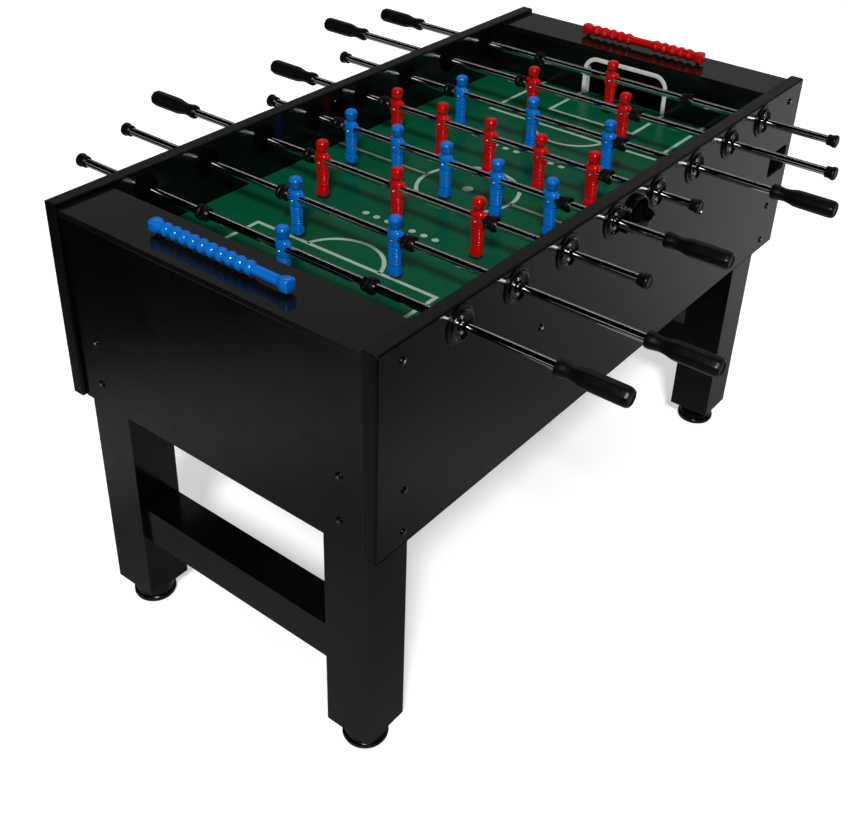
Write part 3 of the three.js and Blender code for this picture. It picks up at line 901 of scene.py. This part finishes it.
def player_mesh(team):
    """A moulded player hanging feet down from the rod at the origin, facing +X."""
    bm = bmesh.new()
    # Half depth, half width, squareness, height, forward shift.
    sections = [
        (8.4, 10.6, 6, -72.0, 0.9), (9.4, 11.4, 7, -71.5, 0.9), (9.6, 11.7, 7, -66.0, 0.9),
        (9.0, 11.6, 5, -60.0, 0.6), (8.0, 11.2, 4, -56.5, 0.1), (7.2, 10.4, 3, -53.5, 0.0),
    ]
    for rib in range(7):
        height = -50.0 + rib * 5.0
        girth = 0.28 * rib
        sections.append((8.4 + girth, 11.4 + girth * 0.6, 3, height, 0))
        sections.append((8.4 + girth, 11.4 + girth * 0.6, 3, height + 2.4, 0))
        sections.append((6.7 + girth, 9.8 + girth * 0.6, 3, height + 3.2, 0))
        sections.append((6.7 + girth, 9.8 + girth * 0.6, 3, height + 4.0, 0))
    sections += [
        (9.8, 12.6, 3, -15.5, 0), (10.0, 13.0, 3, -12.0, 0), (10.2, 12.6, 2.6, -7.0, 0),
        (11.0, 13.0, 2.6, 0.0, 0), (10.8, 13.6, 2.6, 6.0, 0), (9.6, 13.8, 2.5, 11.0, 0),
        (8.0, 11.8, 2.3, 14.0, 0), (6.4, 7.8, 2.2, 15.8, 0), (7.0, 7.6, 2.0, 17.2, 0),
        (9.6, 9.4, 2.4, 19.4, 0.4), (11.2, 10.8, 2.8, 23.5, 0.6), (11.6, 11.4, 2.8, 28.5, 0.4),
        (11.4, 11.2, 2.8, 30.4, 0.2), (12.5, 12.3, 2.6, 31.3, -0.2), (12.5, 12.3, 2.5, 35.0, -0.3),
        (11.2, 11.0, 2.3, 38.6, -0.3), (8.2, 8.0, 2.2, 40.8, -0.3), (4.0, 4.0, 2.0, 41.5, -0.3),
    ]
    skin(bm, [
        superellipse(depth * MM, width * MM, power, z * MM, shift * MM)
        for depth, width, power, z, shift in sections
    ])
    # Arms held down along the sides, bent a little forward at the elbow.
    for side in (-1, 1):
        arm = [
            (3.0, 2.6, 14.5, 12.0, 0), (4.6, 4.0, 12.0, 13.6, 0), (5.2, 4.4, 6.0, 14.6, 0),
            (5.0, 3.8, -2.0, 14.0, 0.4), (4.4, 3.4, -9.0, 13.2, 1.0), (4.0, 3.2, -14.0, 12.4, 2.0),
            (2.6, 2.2, -17.0, 11.8, 2.6),
        ]
        skin(bm, [
            superellipse(depth * MM, width * MM, 2.2, z * MM, shift * MM, side * out * MM, 12)
            for depth, width, z, out, shift in arm
        ])
    # A plain nose. The brim of the hair is the ledge near the top of the sections above.
    nose = [(1.0, 1.2, 30.0, 12.2), (1.8, 1.7, 27.8, 12.8), (1.6, 1.8, 25.8, 13.1), (0.8, 1.0, 24.8, 12.4)]
    skin(bm, [
        superellipse(depth * MM, width * MM, 2, z * MM, shift * MM, 0, 10)
        for depth, width, z, shift in nose
    ])
    rough = finish_mesh("rough_player", bm, 70)
    holder = bpy.data.objects.new("rough_player", rough)
    scene.collection.objects.link(holder)
    holder.modifiers.new("smooth", "SUBSURF").levels = 1
    bpy.context.view_layer.update()
    mesh = bpy.data.meshes.new_from_object(holder.evaluated_get(bpy.context.evaluated_depsgraph_get()))
    bpy.data.objects.remove(holder)
    mesh.name = f"player_{team}"
    mesh.materials.append(TEAM[team])
    return mesh


def rest_shift(rod):
    """How far along Y the rod rests from its middle: its slide's range says how far it may still go."""
    for joint in frame["joints"]:
        if joint["name"] == f"{rod}_slide":
            low, high = joint["range_m"]
            return -(low + high) / 2
    return 0.0


def build_rod(rod, meshes):
    """A rod's tube, handle, cap, stops and players, with the bolts through them."""
    team, row = rod.split("_")
    players, spacing, stop = ROWS[row]
    x, z = rod_axis(rod)
    side = handle_side(rod)
    shift = rest_shift(rod)
    body = f"{rod}_rod"
    turn_z = 0 if side < 0 else pi
    low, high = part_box(f"{rod}_rod")
    edge = 0.6 * MM
    tube = turned_mesh(f"{rod}_tube", [
        (ROD_BORE, low.y), (ROD_RADIUS - edge, low.y), (ROD_RADIUS, low.y + edge),
        (ROD_RADIUS, high.y - edge), (ROD_RADIUS - edge, high.y), (ROD_BORE, high.y), (ROD_BORE, low.y),
    ])
    add_piece(f"{rod}_tube", tube, CHROME, body, at=(x, 0, z), cad=f"{rod}_rod")

    # The handle's and the cap's meshes start at their inner ends.
    handle_low, handle_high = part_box(f"{rod}_handle")
    collar = handle_high.y if side < 0 else handle_low.y
    add_piece(f"{rod}_grip", meshes["handle"], GRIP, body, at=(x, collar, z),
              turn_z=turn_z, cad=f"{rod}_handle")
    cap_low, cap_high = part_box(f"{rod}_end_cap")
    mouth = cap_low.y if side < 0 else cap_high.y
    add_piece(f"{rod}_cap", meshes["cap"], GRIP, body, at=(x, mouth, z),
              turn_z=turn_z, cad=f"{rod}_end_cap")

    to_top = Matrix.Rotation(-pi / 2, 4, "X")
    for way, name in ((-1, "front"), (1, "back")):
        at = (x, shift + way * stop, z)
        turn_stop = 0 if way < 0 else pi
        piece = add_piece(f"{rod}_stop_{name}", meshes["stop"], RUBBER, body, at=at,
                          turn_z=turn_stop)
        keep_flat(piece)
        # The clamping ring's screw heads stand on the side towards the blue goal and on top.
        screw_at = (x, shift + way * (stop - STOP_SCREW_SHIFT), z)
        out = Matrix.Translation((0, -STOP_SCREW_OUT, 0))
        for place, turned, local in (("side", -pi / 2, out), ("top", 0, to_top @ out)):
            add_piece(f"{rod}_stop_screw_{name}_{place}", meshes["stop_screw"], BLACK, body,
                      at=screw_at, turn_z=turned, local=local)

    facing = 0 if team == "blue" else pi
    for number in range(players):
        y = shift + (number - (players - 1) / 2) * spacing
        add_piece(f"{rod}_player_{number + 1}", meshes[team], TEAM[team], body,
                  at=(x, y, z), turn_z=facing)
        for turned, name in ((-pi / 2, "head"), (pi / 2, "nut")):
            add_piece(f"{rod}_player_bolt_{number + 1}_{name}", meshes["small_screw"], ZINC, body,
                      at=(x, y, z), turn_z=turned,
                      local=Matrix.Translation((0, -PLAYER_BOLT_OUT, -PLAYER_BOLT_DROP)))


# ------------------------------------------------------------------ score counters


def bead_mesh(team):
    """One counter bead on its rail along Y, from 0 to its full width."""
    width = BEAD_PITCH - BEAD_GAP
    middle = width / 2
    profile = [(BEAD_BORE, 0), (BEAD_GROOVE, 0)]
    for i in range(-8, 9):
        place = i / 8 * BEAD_SPAN
        profile.append((BEAD_RADIUS - BEAD_ROUND + math.sqrt(BEAD_ROUND ** 2 - place ** 2), middle + place))
    profile += [(BEAD_GROOVE, width), (BEAD_BORE, width)]
    mesh = turned_mesh(f"score_bead_{team}", [*profile, profile[0]], count=44)
    mesh.materials.append(TEAM[team])
    return mesh


def build_counter(team):
    """A rail between two block-shaped knobs that stand on the shelf, with its beads."""
    low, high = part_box(f"score_rail_{team}")
    x = (low.x + high.x) / 2
    axis = COUNTER_AXIS
    shelf_gap = low.z - axis
    rail_end = high.y - 22 * MM
    rail = [(0, -rail_end), (RAIL_RADIUS, -rail_end), (RAIL_RADIUS, rail_end), (0, rail_end)]
    bm = bmesh.new()
    turn(bm, rail)
    to_y = Matrix.Rotation(-pi / 2, 4, "X")
    # Half width, squareness, distance in from the knob's end face.
    block = [(9.6, 4.2, 0), (11.0, 4.4, 0.7), (11.6, 4.6, 2), (11.7, 4.6, 11), (11.5, 4, 14.5),
             (10.6, 3, 18), (9.9, 2.2, 21), (9.4, 2.0, 24)]
    for way in (-1, 1):
        rings = [superellipse(size * MM, size * MM, power, way * (high.y - inset * MM), count=36)
                 for size, power, inset in block]
        skin(bm, [[to_y @ point for point in ring] for ring in rings])
    mesh = finish_mesh(f"score_rail_{team}_moulding", bm, 40)
    add_piece(mesh.name, mesh, TEAM[team], "cabinet", at=(x, 0, axis),
              cad=f"score_rail_{team}")

    # The posts under the knobs belong to the knobs' blue or red moulding, but they are made of black plastic
    # here as painted shade, for they stand in the shadow under the knobs.
    bm = bmesh.new()
    for way in (-1, 1):
        post = [superellipse(size * MM, size * MM, 2, depth, count=36) for size, depth in
                ((5, shelf_gap), (4, shelf_gap + 1 * MM), (4, -10 * MM))]
        skin(bm, [[point + Vector((0, way * (high.y - 12 * MM), 0)) for point in ring] for ring in post])
    posts = finish_mesh("posts", bm, 40)
    add_piece(f"score_rail_{team}_posts", posts, BLACK, "cabinet", at=(x, 0, axis))

    bead = bead_mesh(team)
    number = 0
    for body in sorted(name for name in frame["bodies"] if name.startswith(f"score_beads_{team}")):
        run_low, run_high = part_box(body)
        count = round((run_high.y - run_low.y) / BEAD_PITCH)
        for i in range(count):
            number += 1
            at = (x, run_low.y + i * BEAD_PITCH + BEAD_GAP / 2, axis)
            cad = body if i == 0 else None
            add_piece(f"score_bead_{team}_{number}", bead, TEAM[team], body, at=at,
                      cad=cad)


# ------------------------------------------------------------------ studio


def build_floor():
    """Wide pale floor, with a little light of its own so that shadows stay soft."""
    material, tree, shader, place = node_tree("studio_floor")
    tree.links.new(ramp(tree, noise(tree, place, 0.8), (0.62, 0.62, 0.62), (0.64, 0.64, 0.64)),
                   shader.inputs["Base Color"])
    shader.inputs["Roughness"].default_value = 0.7
    shader.inputs["Emission Color"].default_value = (1, 1, 1, 1)
    shader.inputs["Emission Strength"].default_value = 0.5
    bm = bmesh.new()
    bmesh.ops.create_grid(bm, x_segments=8, y_segments=8, size=30)
    mesh = bpy.data.meshes.new("floor")
    bm.to_mesh(mesh)
    bm.free()
    mesh.materials.append(material)
    floor = bpy.data.objects.new("floor", mesh)
    scene.collection.objects.link(floor)
    floor.visible_glossy = False


def levels(tree, value, low, high, points):
    """Brightness as a value goes from low to high, through points of (value, brightness)."""
    scale = tree.nodes.new("ShaderNodeMapRange")
    scale.inputs["From Min"].default_value = low
    scale.inputs["From Max"].default_value = high
    tree.links.new(value, scale.inputs["Value"])
    node = tree.nodes.new("ShaderNodeValToRGB")
    elements = node.color_ramp.elements
    while len(elements) < len(points):
        elements.new(0.5)
    for element, (at, level) in zip(elements, points):
        element.position = (at - low) / (high - low)
        element.color = (level, level, level, 1)
    tree.links.new(scale.outputs["Result"], node.inputs["Fac"])
    return node.outputs["Color"]


def combined(tree, operation, one, two):
    """The sum or the product of two values, as the operation says."""
    node = tree.nodes.new("ShaderNodeMath")
    node.operation = operation
    tree.links.new(one, node.inputs[0])
    tree.links.new(two, node.inputs[1])
    return node.outputs["Value"]


def build_world():
    """Dark studio with a dim floor and dim screens, which the table's gloss shows.

    Each part is a band of brightness by height, times how far it reaches to the sides: the floor
    towards the blue end and towards the red end, a screen past the red end, and a low strip behind
    the blue end.
    """
    world = bpy.data.worlds.new("studio")
    scene.world = world
    world.use_nodes = True
    tree = world.node_tree
    place = tree.nodes.new("ShaderNodeTexCoord")
    split = tree.nodes.new("ShaderNodeSeparateXYZ")
    tree.links.new(place.outputs["Generated"], split.inputs["Vector"])
    along, across, height = split.outputs["X"], split.outputs["Y"], split.outputs["Z"]

    parts = []
    end_floor = levels(tree, height, -1, 0, [
        (-1, 0.24), (-0.76, 0.21), (-0.71, 0.25), (-0.67, 0.14), (-0.64, 0.08), (-0.62, 0.42),
        (-0.57, 0.34), (-0.54, 0)])
    parts.append((end_floor, levels(tree, along, -1, 1, [(-0.2, 1), (0.2, 0)])))
    front_floor = levels(tree, height, -1, 0, [
        (-1, 0.30), (-0.75, 0.15), (-0.68, 0.09), (-0.63, 0.30), (-0.60, 0.20), (-0.56, 0.11),
        (-0.48, 0.10), (-0.25, 0)])
    parts.append((front_floor, levels(tree, along, -1, 1, [(-0.2, 0), (0.2, 1)])))
    far_floor = levels(tree, height, -1, 0, [(-0.6, 0.0), (-0.48, 0.40), (-0.2, 0.46), (-0.02, 0.0)])
    parts.append((far_floor, levels(tree, along, 0, 1, [(0.67, 0), (0.88, 1)])))
    screen = levels(tree, height, 0, 1, [
        (0.02, 0.05), (0.20, 0.15), (0.38, 0.27), (0.50, 0.34), (0.62, 0.27), (0.74, 0.10), (0.82, 0.0)])
    behind = levels(tree, across, 0, 1, [(0.10, 0), (0.35, 1)])
    beside = levels(tree, across, -1, 1, [(-0.65, 0), (-0.50, 0.8), (0.10, 0.8), (0.35, 0)])
    right = levels(tree, along, 0, 1, [(0.55, 0), (0.70, 0.7), (0.86, 1)])
    beyond = levels(tree, along, 0, 1, [(0.20, 0), (0.50, 0.60), (0.68, 0.62), (0.86, 1)])
    parts.append((screen, combined(tree, "MULTIPLY", behind, beyond)))
    parts.append((screen, combined(tree, "MULTIPLY", beside, right)))
    left_strip = levels(tree, height, 0, 1, [(0.02, 0), (0.06, 0.50), (0.16, 0.50), (0.24, 0)])
    left = levels(tree, along, -1, 0, [(-0.75, 1), (-0.50, 0)])
    parts.append((left_strip, combined(tree, "MULTIPLY", behind, left)))
    total = None
    for level, side in parts:
        part = combined(tree, "MULTIPLY", level, side)
        total = combined(tree, "ADD", total, part) if total else part
    surroundings = tree.nodes["Background"]
    tree.links.new(total, surroundings.inputs["Strength"])
    surroundings.inputs["Color"].default_value = (1, 1, 1, 1)

    # The camera itself sees a plain pale backdrop beyond the floor.
    backdrop = tree.nodes.new("ShaderNodeBackground")
    backdrop.inputs["Color"].default_value = (0.97, 0.97, 0.97, 1)
    path = tree.nodes.new("ShaderNodeLightPath")
    choice = tree.nodes.new("ShaderNodeMixShader")
    tree.links.new(path.outputs["Is Camera Ray"], choice.inputs["Fac"])
    tree.links.new(surroundings.outputs["Background"], choice.inputs[1])
    tree.links.new(backdrop.outputs["Background"], choice.inputs[2])
    tree.links.new(choice.outputs["Shader"], tree.nodes["World Output"].inputs["Surface"])


def place_light(name, light, location, target, reflected):
    """Aims a light that is only there for its reflections, or only there for its even light."""
    lamp = bpy.data.objects.new(name, light)
    lamp.location = location
    lamp.rotation_euler = (Vector(target) - Vector(location)).to_track_quat("-Z", "Y").to_euler()
    lamp.visible_glossy = reflected
    lamp.visible_diffuse = not reflected
    scene.collection.objects.link(lamp)


def sun(name, location, strength, angle):
    """Even light from one direction, which leaves no hot spot on the floor."""
    light = bpy.data.lights.new(name, "SUN")
    light.energy = strength
    light.angle = radians(angle)
    place_light(name, light, location, (0, 0, 0), False)


def softbox(name, location, target, width, height, power):
    """A lit rectangle that is seen in the table's gloss and lights nothing evenly."""
    light = bpy.data.lights.new(name, "AREA")
    light.shape = "RECTANGLE"
    light.size = width
    light.size_y = height
    light.energy = power
    place_light(name, light, location, target, True)


def build_camera():
    """The photograph's view: over the corner where the blue goal's end meets the front."""
    target = Vector((-0.3234, -0.1396, 0.636))
    azimuth, elevation, roll, distance = radians(52.44), radians(33.05), radians(1.69), 2.1974
    back = Vector((-sin(azimuth) * cos(elevation), -cos(azimuth) * cos(elevation), sin(elevation)))
    right = (-back).cross(Vector((0, 0, 1))).normalized()
    up = right.cross(-back)
    rolled_right = cos(roll) * right + sin(roll) * up
    rolled_up = cos(roll) * up - sin(roll) * right
    data = bpy.data.cameras.new("camera")
    data.sensor_width = 36
    data.lens = 51.24
    data.shift_x = 0.0051
    data.shift_y = -0.081
    camera = bpy.data.objects.new("camera", data)
    camera.matrix_world = Matrix.Translation(target + back * distance) @ Matrix(
        (rolled_right, rolled_up, back)).transposed().to_4x4()
    scene.collection.objects.link(camera)
    scene.camera = camera


# ------------------------------------------------------------------ making

build_camera()
build_floor()
build_world()
sun("ceiling", (0, 0, 3), 0.8, 60)
sun("key", (-1.9, -1.35, 2.2), 3.6, 9)
softbox("flash", (-1.85, -1.30, 2.20), (-0.3, -0.15, 0.8), 0.6, 0.6, 40)
softbox("strip", (1.0, 1.0, 3.0), (0, 1.0, 0.8), 4.0, 0.15, 3.2)

for panel_side in ("front", "back"):
    build_side_panel(panel_side)
    build_cup(panel_side)
for end_name, end_sign in (("red", 1), ("blue", -1)):
    build_goal(end_name, end_sign)
    build_counter(end_name)
build_field()
build_plain_boards()
for body_name in frame["bodies"]:
    if body_name.startswith("foot_"):
        build_foot(body_name)
build_bolts()

flange_screw = bolt_mesh("flange_screw", ZINC, 3.4 * MM, 2.6 * MM, SCREW_SOCKET)
build_bearings(flange_screw)
rod_meshes = {
    "handle": handle_mesh(),
    "cap": end_cap_mesh(),
    "stop": stop_mesh(),
    "small_screw": bolt_mesh("small_screw", ZINC, 2.6 * MM, 1.8 * MM, SCREW_SOCKET),
    "stop_screw": bolt_mesh("stop_screw", BLACK, 2.6 * MM, 1.8 * MM, SCREW_SOCKET),
    "blue": player_mesh("blue"),
    "red": player_mesh("red"),
}
for rod_name in ROD_NAMES:
    build_rod(rod_name, rod_meshes)

scene.view_settings.view_transform = "Standard"
